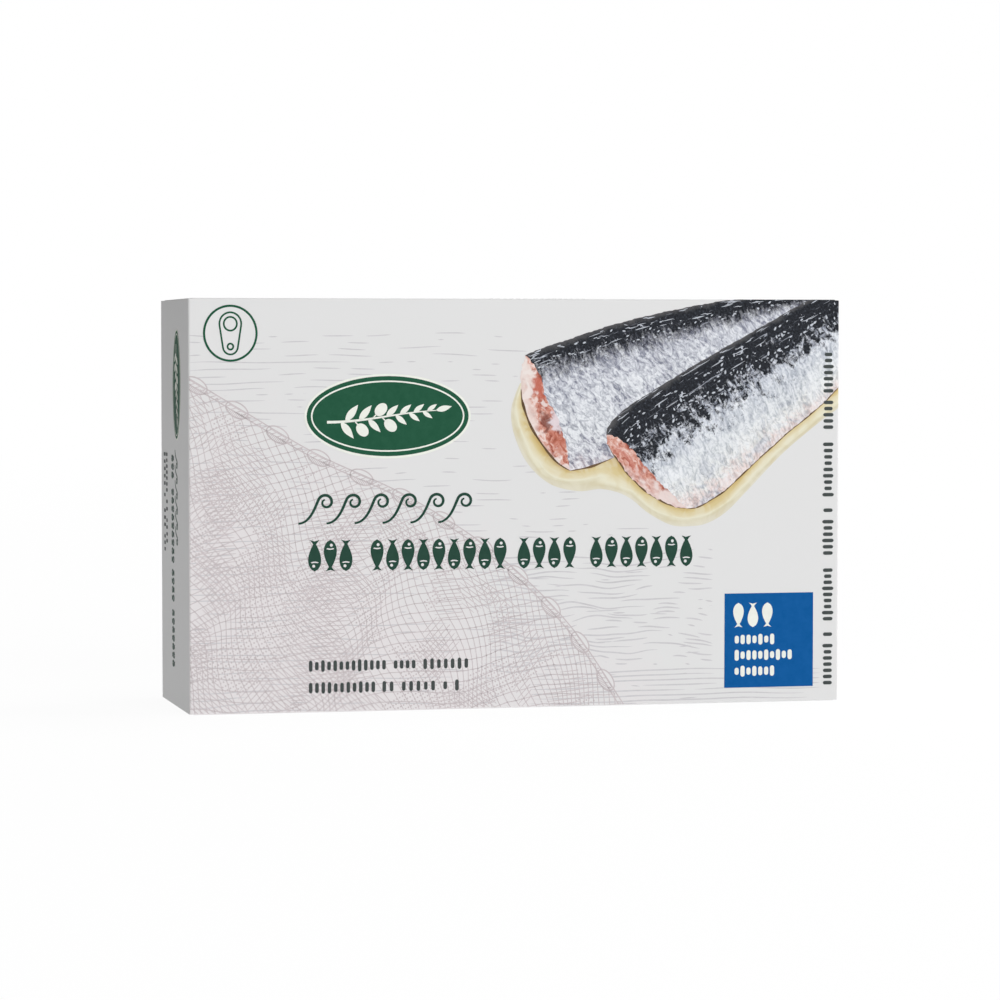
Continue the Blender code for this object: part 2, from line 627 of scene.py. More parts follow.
def swellTree():
    # rows of broken, swelling lines, as an engraver cuts a sea; they thin out to the right
    tree, given = newTree("swell", rows=20, rowGap=1.0, run=60.0, steps=120, waveHeight=1.0, waveSize=12.0,
                          lineWidth=0.2, fullness=0.6, thinning=0.005, seed=1)
    place = addNode(tree, "InputPosition")

    def seaNoise(squeeze, scale, detail):
        squeezed = addNode(tree, "ShaderNodeVectorMath", {0: place, 1: squeeze}, operation="MULTIPLY")
        return addNode(tree, "ShaderNodeTexNoise", {"Vector": squeezed, "W": given["seed"], "Scale": scale,
                                                    "Detail": detail}, noise_dimensions="4D").outputs[0]

    step = mathNode(tree, "DIVIDE", given["run"], given["steps"])
    line = addNode(tree, "MeshLine", {"Count": given["steps"], "Offset": vectorNode(tree, x=step)})
    stack = addNode(tree, "MeshLine", {"Count": given["rows"], "Offset": vectorNode(tree, y=given["rowGap"])})
    rows = addNode(tree, "InstanceOnPoints", {"Points": stack, "Instance": line})
    loose = addNode(tree, "RealizeInstances", {0: rows})
    swell = seaNoise((0.6, 1.6, 1.0), mathNode(tree, "DIVIDE", 1.0, given["waveSize"]), 2.0)
    rise = mathNode(tree, "MULTIPLY", mathNode(tree, "SUBTRACT", swell, 0.5), given["waveHeight"])
    bent = addNode(tree, "SetPosition", {"Geometry": loose, "Offset": vectorNode(tree, y=rise)})
    thinned = mathNode(tree, "MULTIPLY", splitNode(tree, place)["X"], given["thinning"])
    limit = mathNode(tree, "SUBTRACT", given["fullness"], thinned)
    gaps = seaNoise((0.16, 1.3, 1.0), 1.0, 1.0)
    gone = addNode(tree, "FunctionNodeCompare", {0: gaps, 1: limit}, operation="GREATER_THAN")
    kept = addNode(tree, "DeleteGeometry", {"Geometry": bent, "Selection": gone}, domain="POINT")
    curve = addNode(tree, "MeshToCurve", {0: kept})
    part = addNode(tree, "SplineParameter").outputs["Factor"]
    hump = mathNode(tree, "MULTIPLY", part, mathNode(tree, "SUBTRACT", 1.0, part))
    taper = mathNode(tree, "MULTIPLY", mathNode(tree, "POWER", hump, 0.5), 2.0)
    width = mathNode(tree, "MULTIPLY", mathNode(tree, "MAXIMUM", taper, 0.12), given["lineWidth"])
    return endTree(tree, ribbon(tree, curve, width), given["ink"])


def scatterTree():
    # small shapes strewn over a surface, thicker where its "weight" is higher
    tree, given = newTree("scatter", shape=None, perArea=1.0, sizeLow=0.5, sizeHigh=1.0,
                          turn=0.0, turnSpread=0.5, seed=1)
    weight = addNode(tree, "InputNamedAttribute", {"Name": "weight"}, data_type="FLOAT")
    amount = mathNode(tree, "MULTIPLY", weight, given["perArea"])
    points = addNode(tree, "DistributePointsOnFaces",
                     {"Mesh": given["Geometry"], "Density": amount, "Seed": given["seed"]},
                     distribute_method="RANDOM")
    shape = addNode(tree, "ObjectInfo", {"Object": given["shape"]}).outputs["Geometry"]
    angle = stretch(tree, randomValue(tree, -1.0, 1.0, 5), given["turnSpread"], given["turn"])
    size = randomValue(tree, given["sizeLow"], given["sizeHigh"], 9)
    strewn = addNode(tree, "InstanceOnPoints", {"Points": points, "Instance": shape,
                                                "Rotation": flatTurn(tree, angle), "Scale": size})
    return endTree(tree, strewn, given["ink"])


trees = {"along": shapesAlongTree(), "strands": strandsTree(), "swell": swellTree(), "scatter": scatterTree()}


def grow(kind, base, ink, **values):
    # runs a tree on a mesh and hands back what it made, flat
    carrier = addObject("carrier", base)
    modifier = carrier.modifiers.new("grow", "NODES")
    modifier.node_group = trees[kind]
    values["ink"] = inks[ink]
    for item in trees[kind].interface.items_tree:
        if item.in_out == "INPUT" and item.name in values:
            modifier[item.identifier] = values[item.name]
    bpy.context.view_layer.update()
    made = carrier.evaluated_get(bpy.context.evaluated_depsgraph_get())
    mesh = bpy.data.meshes.new_from_object(made)
    carrier.modifiers.remove(modifier)
    bpy.data.objects.remove(carrier)
    flat = bmesh.new()
    flat.from_mesh(mesh)
    for vert in flat.verts:
        vert.co.z = 0
    return flat


def lineMesh(lines, trimEnds=0.0):
    # a mesh of one chain of edges for each line; trimEnds shortens each straight line at both ends
    points, edges = [], []
    for line in lines:
        if trimEnds:
            (x0, y0), (x1, y1) = line
            share = trimEnds / math.dist(*line)
            line = [(x0 + (x1 - x0) * share, y0 + (y1 - y0) * share),
                    (x1 - (x1 - x0) * share, y1 - (y1 - y0) * share)]
        start = len(points)
        points += [(x, y, 0) for x, y in line]
        edges += [(start + i, start + i + 1) for i in range(len(line) - 1)]
    mesh = bpy.data.meshes.new("lines")
    mesh.from_pydata(points, edges, [])
    return mesh


def shapeObject(*outlines):
    flat = bmesh.new()
    for outline in outlines:
        addPolygon(flat, outline)
    bmesh.ops.triangulate(flat, faces=[f for f in flat.faces if len(f.verts) > 4])
    mesh = bpy.data.meshes.new("shape")
    flat.to_mesh(mesh)
    flat.free()
    return bpy.data.objects.new("shape", mesh)


def mergeFlats(flats):
    whole = flats[0]
    for other in flats[1:]:
        mesh = bpy.data.meshes.new("part")
        other.to_mesh(mesh)
        other.free()
        whole.from_mesh(mesh)
    return whole


layers = {          # height of each printed layer over the board, and how far all reach into it
    "under": -0.012, "swell": 0.012, "net": 0.015, "netCross": 0.018, "floatFaces": 0.021, "floats": 0.024,
    "surf": 0.0126, "stipple": 0.0130, "falling": 0.0134, "rising": 0.0138, "level": 0.0142,
    "oil": 0.014, "rearSkin": 0.018, "rearFlecks": 0.022, "rearCut": 0.021,
    "contact": 0.025, "frontSkin": 0.028, "frontCut": 0.031, "frontFlecks": 0.033,
    "plaque": 0.030, "mark": 0.036, "type": 0.040, "overType": 0.044,
}


def printFlat(name, flat, layer, ink):
    # prints a flat drawing in a named ink, or in a material of its own
    foldSheet(name, flat, layers[layer], layers["under"], inks[ink] if isinstance(ink, str) else ink)


# Where the groups of print go: u, v, turn in degrees and scale, from the front's own drawing
def backPlace(a, b, scale=1.0):
    # a place seen from behind, a to the right and b up
    return (length - a, height + depth + height - b, 180, scale)


titlePlaces = [
    (17.9, 22.0, 0, 0.995),
    (-17.6, 39.9, -90, 0.54),
    (length + 12.4, 39.9, -90, 0.54),
    (48.0, height + 8.0, 0, 0.72),
    backPlace(8.0, 42.0, 0.62),
]

sardineRow = {
    "words": [(0.0, 8.2), (10.6, 32.1), (34.4, 43.1), (45.7, 62.7)],   # from the row's left end
    "middle": 2.3,
    "tall": 4.9,
    "thick": 2.05,
    "spacing": 2.46,
    "eye": 0.24,
}


def crescent(cx, cy, radius, thick, start, sweep, count=7):
    outer = oval(cx, cy, radius, radius, count, start, sweep)
    inner = oval(cx - thick, cy, radius, radius, count, start, sweep)
    return outer + inner[-2:0:-1]


def sardineRows():
    # the bold line: sardines side by side, heads and tails in turn
    row = sardineRow
    shape = shapeObject(sardine(row["tall"], row["thick"], 14))
    head = row["tall"] / 2
    marks = shapeObject(oval(0.17 * row["tall"] - head, 0.16, row["eye"], row["eye"], 10),
                        crescent(0.02 * row["tall"] - head, 0, 1.45, 0.2, -26, 52))
    flats = {"type": [], "marks": []}
    for place in titlePlaces:
        scale = place[3]
        spacing = row["spacing"]
        words = []
        for a, b in row["words"]:
            reach = (round((b - a) / spacing) - 1) * spacing / 2 + 0.01
            ends = [((a + b) / 2 - reach, row["middle"]), ((a + b) / 2 + reach, row["middle"])]
            words.append(placed(ends, place))
        for part, kind in ((shape, "type"), (marks, "marks")):
            part.data.transform(Matrix.Scale(scale, 4))
            flats[kind].append(grow("along", lineMesh(words), "greenDark", shape=part,
                                    spacing=spacing * scale, turn=math.pi / 2, alternate=math.pi))
            part.data.transform(Matrix.Scale(1 / scale, 4))
    bpy.data.objects.remove(shape)
    bpy.data.objects.remove(marks)
    printFlat("sardineEyes", mergeFlats(flats["marks"]), "overType", "ground")
    printFlat("sardineRows", mergeFlats(flats["type"]), "type", "greenDark")


waveRow = {
    "crests": 6, "pitch": 4.43, "base": 7.3, "tall": 4.5,
    "curl": 1.22,        # radius of the curl
    "turns": 1.12,
    "line": 0.44, "thin": 0.24,
}


def waveCrest():
    # one breaking wave of the light line: a long slope, then a curl that winds inward
    pitch, tall, curl = waveRow["pitch"], waveRow["tall"], waveRow["curl"]
    cx, cy = pitch * 0.05, tall - curl
    meet = math.radians(152)
    top = (cx + curl * math.cos(meet), cy + curl * math.sin(meet))
    start = (cx - pitch + 0.1, 0.0)
    reach = top[0] - start[0]
    handle = (top[0] - 0.95 * math.sin(meet) * curl, top[1] + 0.95 * math.cos(meet) * curl)
    points = []
    for i in range(18):
        t = i / 18
        a, b, c, d = (1 - t) ** 3, 3 * t * (1 - t) ** 2, 3 * t * t * (1 - t), t ** 3
        points.append((a * start[0] + b * (start[0] + 0.62 * reach) + c * handle[0] + d * top[0],
                       a * start[1] + b * (start[1] + 0.1) + c * handle[1] + d * top[1]))
    steps = 30
    for i in range(steps + 1):
        angle = meet - i / steps * waveRow["turns"] * 2 * math.pi
        radius = curl * (1 - 0.66 * i / steps)
        points.append((cx + radius * math.cos(angle), cy + radius * math.sin(angle)))
    return points


def waveRows():
    # the light line: waves that break one behind the other, in a thin stroke
    flat = bmesh.new()
    crest = waveCrest()
    for place in titlePlaces:
        widths = []
        for k in range(len(crest)):
            share = math.sin(math.pi * min(1.0, 0.12 + 0.88 * k / len(crest)))
            widths.append((waveRow["thin"] + (waveRow["line"] - waveRow["thin"]) * share) * place[3])
        for i in range(waveRow["crests"]):
            middle = (i + 0.72) * waveRow["pitch"]
            addStroke(flat, placed([(x + middle, y + waveRow["base"]) for x, y in crest], place), widths)
    printFlat("waveRows", flat, "type", "greenDark")


beadRows = {
    "spacing": 0.94, "wide": 0.56, "tall": 1.5, "low": 0.8, "high": 1.3,
    "front": [
        ((18.4, 7.2), (30.9, 7.2)), ((31.8, 7.2), (35.6, 7.2)), ((36.5, 7.2), (44.0, 7.2)),
        ((18.4, 3.8), (29.2, 3.8)), ((30.0, 3.8), (32.1, 3.8)), ((33.1, 3.8), (38.7, 3.8)),
        ((39.7, 3.8), (42.5, 3.8)),
    ],
    # up the right edge; a 0 leaves only a gap between words
    "edgeWords": [10.4, 2.4, 13.2, 0, 9.0, 2.4, 13.6, 0, 7.4, 10.2],
}


def wordsFrom(start, along, lengths, gap=0.9):
    # a line of words of these lengths, from a start in a direction
    words, run = [], 0.0
    for size in lengths:
        if size:
            a = (start[0] + along[0] * run, start[1] + along[1] * run)
            b = (start[0] + along[0] * (run + size), start[1] + along[1] * (run + size))
            words.append((a, b))
        run += size + gap
    return words


def paragraph(place, wide, lines, seed):
    # a block of lines of words, each line a little different
    words = []
    for row in range(lines):
        run, lengths = 0.0, []
        while True:
            size = 2.2 + 6.5 * (0.5 + 0.5 * math.sin(seed * 7.7 + row * 3.1 + len(lengths) * 5.3))
            if run + size > wide * (0.55 if row == lines - 1 else 1.0):
                break
            lengths.append(size)
            run += size + 0.9
        words += [tuple(placed(w, place)) for w in wordsFrom((0, -2.6 * row), (1, 0), lengths)]
    return words


def beadLines():
    # small type: words of upright beads
    spacing = beadRows["spacing"]
    edge = wordsFrom((102.75, 2.4), (0, 1), [s * 0.66 for s in beadRows["edgeWords"]], 0.9)
    words = list(beadRows["front"]) + edge
    for column in (-22.9, length + 7.1):
        words += wordsFrom((column, 39.9), (0, -1), [6.6, 2.1, 4.2], 0.9)
        words += wordsFrom((column - 2.4, 39.9), (0, -1), [5.6, 1.6, 3.2, 3.0], 0.9)
    words += paragraph((48.0, height + 4.4, 0, 1.0), 44, 1, 2)
    words += paragraph(backPlace(8.0, 35.0), 40, 8, 3)
    words += paragraph(backPlace(8.0, 11.5), 40, 3, 6)
    words += paragraph((12.0, -6.0, 0, 1.0), 44, 5, 5)
    shape = shapeObject(pill(beadRows["wide"], beadRows["tall"], 4))
    flat = grow("along", lineMesh(words, spacing / 2), "grey", shape=shape, spacing=spacing,
                tallLow=beadRows["low"], tallHigh=beadRows["high"], seed=4)
    bpy.data.objects.remove(shape)
    printFlat("beadLines", flat, "type", "grey")


ringPull = {"place": (6.5, 58.6), "ring": 4.2, "line": 0.34, "tabWide": 1.75, "tabNarrow": 1.2,
            "tabTop": 1.45, "tabLow": -2.05, "finger": 1.05, "rivet": 0.46, "squeeze": 0.965}


def ringPullMark():
    # the sign for a ring-pull lid
    flat = bmesh.new()
    p = ringPull
    wide, narrow, top, low = p["tabWide"], p["tabNarrow"], p["tabTop"], p["tabLow"]
    lean = math.degrees(math.asin((wide - narrow) / (top - low)))
    tab = oval(0, top, wide, wide, 20, -lean, 180 + 2 * lean)
    tab += oval(0, low, narrow, narrow, 16, 180 + lean, 180 - 2 * lean)
    rings = [oval(0, 0, p["ring"], p["ring"], 72), tab,
             oval(0, top, p["finger"], p["finger"], 32), oval(0, low, p["rivet"], p["rivet"], 24)]
    for ring in rings:
        moved = [(p["place"][0] + x * p["squeeze"], p["place"][1] + y) for x, y in ring]
        addStroke(flat, moved, p["line"] if ring is rings[0] else p["line"] * 0.82, closed=True)
    ground = bmesh.new()
    addPolygon(ground, [(p["place"][0] + x * p["squeeze"], p["place"][1] + y) for x, y in rings[0]])
    printFlat("ringPullGround", ground, "plaque", "ground")
    printFlat("ringPullMark", flat, "type", "green")


plaque = {
    "long": 25.6, "tall": 12.4, "leaf": 3.3, "leafWide": 1.15,
    "pairs": 7, "keyline": 0.35, "inset": 0.8,
}
plaquePlaces = [
    (31.1, 45.8, 0, 1.0),
    (-11.8, 50.6, -90, 0.66),
    (length + 16.4, 50.6, -90, 0.66),
    (26.0, height + 15.0, 0, 0.95),
    backPlace(82.0, 50.0, 0.8),
]


def leafOutline(long, wide, count=8):
    upper = [(long * i / count, wide / 2 * math.sin(math.pi * (i / count) ** 0.85)) for i in range(count + 1)]
    return upper + [(x, -y) for x, y in reversed(upper[1:-1])]


def plaques():
    # a plain oval label with an olive sprig, in a fine light border
    ground, light = bmesh.new(), bmesh.new()
    p = plaque
    stem = [(x, 0.9 * math.sin(x / 9.5 * math.pi * 0.5)) for x in [-9.6 + 17.2 * i / 24 for i in range(25)]]
    for place in plaquePlaces:
        addPolygon(ground, placed(oval(0, 0, p["long"] / 2, p["tall"] / 2, 72), place))
        border = oval(0, 0, p["long"] / 2 - p["inset"], p["tall"] / 2 - p["inset"], 72)
        addStroke(light, placed(border, place), 0.24 * place[3], closed=True)
        outer = oval(0, 0, (p["long"] + p["keyline"]) / 2, (p["tall"] + p["keyline"]) / 2, 72)
        addStroke(light, placed(outer, place), p["keyline"] * place[3], closed=True)
        addStroke(light, placed(stem, place), [place[3] * (0.42 - 0.012 * i) for i in range(25)])
        for i in range(p["pairs"]):
            for side in (1, -1):
                at = stem[3 + 3 * i + (1 if side > 0 else 0)] if 4 + 3 * i < 25 else stem[-1]
                size = 1 - 0.07 * i
                turn = side * (52 - 3 * i)
                olive = side < 0 and i in (1, 3) or side > 0 and i == 2
                shape = leafOutline(p["leaf"] * size, p["leafWide"] * size)
                if olive:
                    shape = oval(1.9, 0, 1.15, 0.85, 20)
                    stalk = placed([(0, 0), (0.9, 0)], (*at, turn, 1))
                    addStroke(light, placed(stalk, place), 0.2 * place[3])
                addPolygon(light, placed(placed(shape, (*at, turn, 1)), place))
        addPolygon(light, placed(placed(leafOutline(2.6, 0.9), (*stem[-1], 14, 1)), place))
    printFlat("plaqueGround", ground, "plaque", "green")
    printFlat("plaqueSprig", light, "mark", "cream")


blueSquare = {"left": 85.55, "low": 2.4, "wide": 14.75, "tall": 15.0,
              "lines": [(87.1, 94.0, 10.05), (87.1, 97.5, 7.55), (87.1, 94.1, 5.0)]}


def blueSquares():
    ground, light = bmesh.new(), bmesh.new()
    p = blueSquare
    corners = [(0, 0), (p["wide"], 0), (p["wide"], p["tall"]), (0, p["tall"])]
    spots = [(p["left"], p["low"], 0, 1.0), backPlace(84.0, 2.4)]
    for place in spots:
        addPolygon(ground, placed(corners, place))
        for i in range(3):
            fish = placed(sardine(3.9, 1.75, 12), (2.3 + 2.4 * i, 11.55, 90 if i % 2 else -90, 1.0))
            addPolygon(light, placed(fish, place))
        for a, b, v in p["lines"]:
            count = int((b - a) / 0.98)
            for k in range(count):
                tall = 1.45 * (1.0 + 0.22 * math.sin(k * 2.7 + v))
                at = (a - p["left"] + 0.49 + 0.98 * k, v - p["low"], 0, 1.0)
                addPolygon(light, placed(placed(pill(0.7, tall, 4), at), place))
    printFlat("blueSquareGround", ground, "plaque", "blue")
    printFlat("blueSquareMarks", light, "mark", "cream")


ringPullMark()
plaques()
waveRows()
sardineRows()
beadLines()
blueSquares()
print("print: marks and lines of type")


# Picture of two sardine trunks in oil
def resample(points, count):
    # count points evenly spaced along a line
    runs = [0.0]
    for a, b in zip(points, points[1:]):
        runs.append(runs[-1] + math.dist(a, b))
    even, k = [], 0
    for i in range(count):
        want = runs[-1] * i / (count - 1)
        while k < len(points) - 2 and runs[k + 1] < want:
            k += 1
        share = (want - runs[k]) / (runs[k + 1] - runs[k] or 1)
        even.append(tuple(points[k][c] + (points[k + 1][c] - points[k][c]) * share for c in (0, 1)))
    return even


def blendPoint(top, bottom, left, right, s, t):
    # a place inside four outlines that share their corners
    return tuple((1 - t) * top[0][c] + t * bottom[0][c] + (1 - s) * left[0][c] + s * right[0][c]
                 - (1 - s) * (1 - t) * top[1][c] - s * (1 - t) * top[2][c]
                 - (1 - s) * t * bottom[1][c] - s * t * bottom[2][c] for c in (0, 1))


def roughen(points, size):
    # an outline with small uneven bumps, its ends kept
    uneven = [points[0]]
    for i in range(1, len(points) - 1):
        dx, dy = points[i + 1][0] - points[i - 1][0], points[i + 1][1] - points[i - 1][1]
        bump = size * (math.sin(i * 1.7) + math.sin(i * 0.61 + 1) + math.sin(i * 2.9 + 2))
        bump /= math.hypot(dx, dy) or 1
        uneven.append((points[i][0] - dy * bump, points[i][1] + dx * bump))
    return uneven + [points[-1]]


def addPatch(flat, top, bottom, left, right, columns, rows, weigh=None, rough=(0, 0)):
    # a four-sided patch between its outlines; "along" is millimetres over 20, "across" runs 0 to 1
    for name in ("along", "across", "weight"):
        flat.verts.layers.float.new(name)
    alongLayer, acrossLayer, weightLayer = flat.verts.layers.float.values()
    top, bottom = [roughen(resample(smoothLine(edge), columns + 1), rough[0]) for edge in (top, bottom)]
    left, right = [roughen(resample(smoothLine(edge), rows + 1), rough[1]) for edge in (left, right)]
    run = sum(math.dist(a, b) for a, b in zip(bottom, bottom[1:])) / 20
    grid = []
    for i in range(columns + 1):
        s = i / columns
        line = []
        for j in range(rows + 1):
            t = j / rows
            point = blendPoint((top[i], top[0], top[-1]), (bottom[i], bottom[0], bottom[-1]),
                               (left[j],), (right[j],), s, t)
            vert = flat.verts.new((*point, 0))
            vert[alongLayer], vert[acrossLayer] = s * run, t
            vert[weightLayer] = weigh(s, t) if weigh else 1.0
            line.append(vert)
        grid.append(line)
    for i in range(columns):
        for j in range(rows):
            flat.faces.new((grid[i][j], grid[i][j + 1], grid[i + 1][j + 1], grid[i + 1][j]))


def patchPoint(trunk, s, t):
    # a place on a trunk's skin: s along it, t from its back to its belly
    outlines = {}
    for name, count in (("back", 200), ("belly", 200), ("skinEdge", 80), ("farEnd", 80)):
        outlines[name] = resample(smoothLine(trunk[name]), count + 1)
    top, bottom = outlines["back"], outlines["belly"]
    i, j = round(s * 200), round(t * 80)
    return blendPoint((top[i], top[0], top[-1]), (bottom[i], bottom[0], bottom[-1]),
                      (outlines["skinEdge"][j],), (outlines["farEnd"][j],), s, t)


trunks = {
    "rear": {
        "back": [(53.0, 55.2), (55.6, 56.3), (58.8, 57.3), (66.2, 59.7), (73.3, 61.5), (79.6, 62.8),
                 (85.2, 63.8),
                 (92.0, 65.0), (98.9, 66.0), (105.9, 66.8)],
        "belly": [(60.2, 37.1), (63.5, 37.7), (67.0, 39.0), (75.2, 43.0), (85.1, 49.0), (95.0, 55.5),
                  (105.9, 62.0)],
        "skinEdge": [(53.0, 55.2), (54.5, 53.6), (55.6, 51.6), (56.1, 49.1), (58.4, 44.9),
                     (59.7, 40.4), (60.2, 37.1)],
        "cutEdge": [(53.0, 55.2), (52.4, 53.0), (52.3, 50.0), (52.6, 47.6), (54.2, 43.5),
                    (57.6, 38.9), (60.2, 37.1)],
        "farEnd": [(105.9, 66.8), (105.9, 62.0)],
    },
    "front": {
        "back": [(66.1, 42.7), (66.4, 44.0), (67.9, 45.8), (71.0, 48.0), (75.7, 50.8), (79.2, 52.9),
                 (85.3, 56.3),
                 (91.2, 59.5), (98.1, 63.3), (105.9, 67.5), (125.7, 77.0)],
        "belly": [(79.3, 31.0), (81.1, 31.3), (85.2, 33.6), (89.2, 37.1), (95.3, 42.4), (101.3, 47.1),
                  (104.4, 50.0),
                  (111.8, 56.2), (125.7, 67.0)],
        "skinEdge": [(66.1, 42.7), (68.3, 42.1), (70.7, 39.9), (72.8, 37.3), (75.5, 34.5),
                     (77.9, 32.3), (79.3, 31.0)],
        "cutEdge": [(66.1, 42.7), (66.2, 41.5), (67.2, 39.9), (69.6, 36.6), (72.8, 33.6),
                    (76.5, 31.6), (79.3, 31.0)],
        "farEnd": [(125.7, 77.0), (125.7, 67.0)],
    },
}

oilPool = {
    "sway": 0.44,        # how far its shades wander
    "stops": [(0.0, (136, 98, 54)), (0.12, (172, 140, 80)), (0.25, (199, 172, 112)),
              (0.40, (213, 196, 148)),
              (0.56, (221, 210, 176)), (0.69, (228, 224, 202)), (0.84, (212, 205, 178)),
              (1.0, (218, 213, 196))],
    "inner": [(53.9, 52.0), (53.3, 49.5), (53.5, 47.6), (55.1, 43.8), (58.3, 39.3), (60.7, 37.9),
              (63.7, 38.5),
              (66.6, 39.9), (67.9, 40.2), (70.2, 37.4), (73.3, 34.4), (76.9, 32.4), (79.3, 31.8),
              (80.9, 32.1),
              (84.7, 34.3), (88.6, 37.7), (94.8, 43.2), (100.9, 47.9), (104.1, 50.8), (111.8, 57.0),
              (125.7, 68.0)],
    "outer": [(52.1, 50.8), (51.3, 48.9), (50.7, 46.5), (51.1, 43.1), (53.2, 38.5), (56.9, 35.1),
              (61.5, 33.9),
              (65.1, 34.2), (68.1, 33.6), (70.4, 32.4), (73.0, 30.3), (76.7, 28.4), (79.9, 28.2),
              (82.5, 28.6),
              (85.5, 30.2), (88.9, 33.4), (95.0, 39.5), (101.2, 44.5), (104.5, 46.8), (112.4, 52.7),
              (125.7, 62.6)],
}


skins = {
    "rear": {
        "axis": 20.0,            # how far the fish points up, in degrees
        "darkStart": 0.170,      # share of the fish that its dark back takes at the cut end
        "darkGrow": 0.056,       # and how much more for each 20 mm along it
        "mottle": 0.24, "stroke": 0.26, "grain": 0.26, "strokeTurn": 24.0, "relief": 0.82,
        "crinkle": (166, 168, 180), "shade": (180, 182, 194), "shine": 0.40,
        "silver": [(-0.05, (138, 140, 155)), (0.06, (174, 177, 190)), (0.22, (204, 207, 215)),
                   (0.56, (214, 217, 221)), (0.72, (196, 195, 203)), (0.84, (212, 200, 203))],
        "rim": (0.17, 0.85, -0.45, (224, 208, 202), 0.7),
    },
    "front": {
        "axis": 31.0,
        "darkStart": 0.385,
        "darkGrow": 0.035,
        "mottle": 1.10, "stroke": 0.50, "grain": 0.55, "strokeTurn": -10.0, "relief": 0.58,
        "crinkle": (182, 187, 196), "shade": (196, 200, 209), "shine": 0.45,
        "silver": [(-0.12, (128, 134, 150)), (0.0, (182, 187, 200)), (0.12, (208, 213, 221)),
                   (0.34, (222, 225, 226)), (0.46, (228, 227, 224)), (0.56, (228, 206, 200))],
        "rim": (0.02, 0.3, 0.8, (226, 206, 202), 0.35),
    },
}


def skinMaterial(kind):
    # sardine skin: a dark back that breaks up into crinkled silver
    skin = skins[kind]
    relief, crinkle = skin["relief"], skin["crinkle"]
    material, tree, shader, place = newMaterial(kind + "SkinInk")
    flatAlong, flatAcross = splitNode(tree, addNode(tree, "ShaderNodeUVMap", uv_map="flat"))[:2]
    x, y, z = splitNode(tree, place)
    frontY = -depth / 2 * mm
    beside = mathNode(tree, "SUBTRACT", mathNode(tree, "ADD", x, y), frontY)
    cornered = vectorNode(tree, x=beside, y=frontY, z=z)     # runs on round the corner of the carton

    def fishPlace(along, across, turn):
        # places measured in these millimetres, along and across the fish
        return mappingNode(tree, cornered, rotation=(0, -math.radians(skin["axis"] + turn), 0),
                           scale=(along * mm, 1, across * mm))

    def pattern(along, across, detail, rough, distort, turn=0.0):
        return noiseNode(tree, fishPlace(along, across, turn), 1.0, detail, rough, distort)

    def offset(base, noisy, amount):
        return stretch(tree, mathNode(tree, "SUBTRACT", noisy, 0.5), amount, base)

    def ramp(value, *stops):
        return rampNode(tree, value, *stops)

    mottle = pattern(1.9, 2.1, 4, 0.62, 0.7)
    stroke = pattern(0.62, 2.0, 5, 0.66, 1.0)
    grain = pattern(0.34, 0.40, 4, 0.75, 0.3)
    patch = pattern(4.2, 3.4, 3, 0.55, 1.2)
    streak = pattern(5.0, 0.45, 3, 0.6, 0.6)
    crease = pattern(1.2, 2.0, 2, 0.5, 1.0, skin["strokeTurn"])
    fold = addNode(tree, "ShaderNodeTexWave", {     # wavering rows of folds, one to each 1.35 mm
        "Vector": fishPlace(1.35, 2.6, skin["strokeTurn"]), "Scale": math.pi / 10, "Distortion": 11.0,
        "Detail": 2.5, "Detail Scale": 10 / math.pi, "Detail Roughness": 0.6}).outputs["Fac"]

    backEdge = stretch(tree, flatAlong, skin["darkGrow"], skin["darkStart"])
    zone = mathNode(tree, "SUBTRACT", flatAcross, backEdge)
    broken = zone
    for noisy, name in ((mottle, "mottle"), (stroke, "stroke"), (grain, "grain")):
        broken = offset(broken, noisy, skin[name])
    bare = ramp(mathNode(tree, "ADD", broken, 0.5), (0.43, 0), (0.60, 1))

    slow = offset(offset(zone, mottle, 0.30), stroke, 0.25)
    silver = ramp(stretch(tree, slow, 0.8, 0.2), *[(a * 0.8 + 0.2, colour) for a, colour in skin["silver"]])
    bright = (240, 242, 246)
    furrow = ramp(fold, (0.0, crinkle), (0.30, 1))
    crack = ramp(crease, (0.38, 1), (0.44, crinkle), (0.5, 1))
    lit = ramp(crease, (0.5, 0), (0.56, 0.56 * relief), (0.644, 0))     # beside each crack
    for factor, colour, blend in (
            (ramp(patch, (0.34, 0.7), (0.50, 0)), skin["shade"], "MIX"),
            (ramp(patch, (0.50, 0), (0.66, skin["shine"])), (238, 240, 244), "MIX"),
            (ramp(patch, (0.42, relief), (0.60, relief * 0.35)), furrow, "MULTIPLY"),
            (ramp(fold, (0.62, 0), (1.0, relief * 0.5)), bright, "MIX"),
            (0.7 * relief, crack, "MULTIPLY"),
            (lit, (244, 246, 249), "MIX"),
            (ramp(stroke, (0.54, 0), (0.70, 0.55 * relief)), bright, "MIX"),
            (0.7 * relief, ramp(grain, (0.34, (184, 186, 196)), (0.48, 1)), "MULTIPLY")):
        silver = mixNode(tree, factor, silver, colour, blend)

    dark = ramp(grain, (0.40, (28, 30, 34)), (0.60, (50, 53, 60)), (0.70, (92, 97, 108)))
    dark = mixNode(tree, ramp(streak, (0.635, 0), (0.70, 0.8)), dark, (168, 173, 184))
    edge = ramp(offset(flatAcross, mottle, 0.12), (0.0, 0.6), (0.06, 0))
    dark = mixNode(tree, edge, dark, (104, 103, 104))
    return varnished(material, tree, shader, place, mixNode(tree, bare, dark, silver))


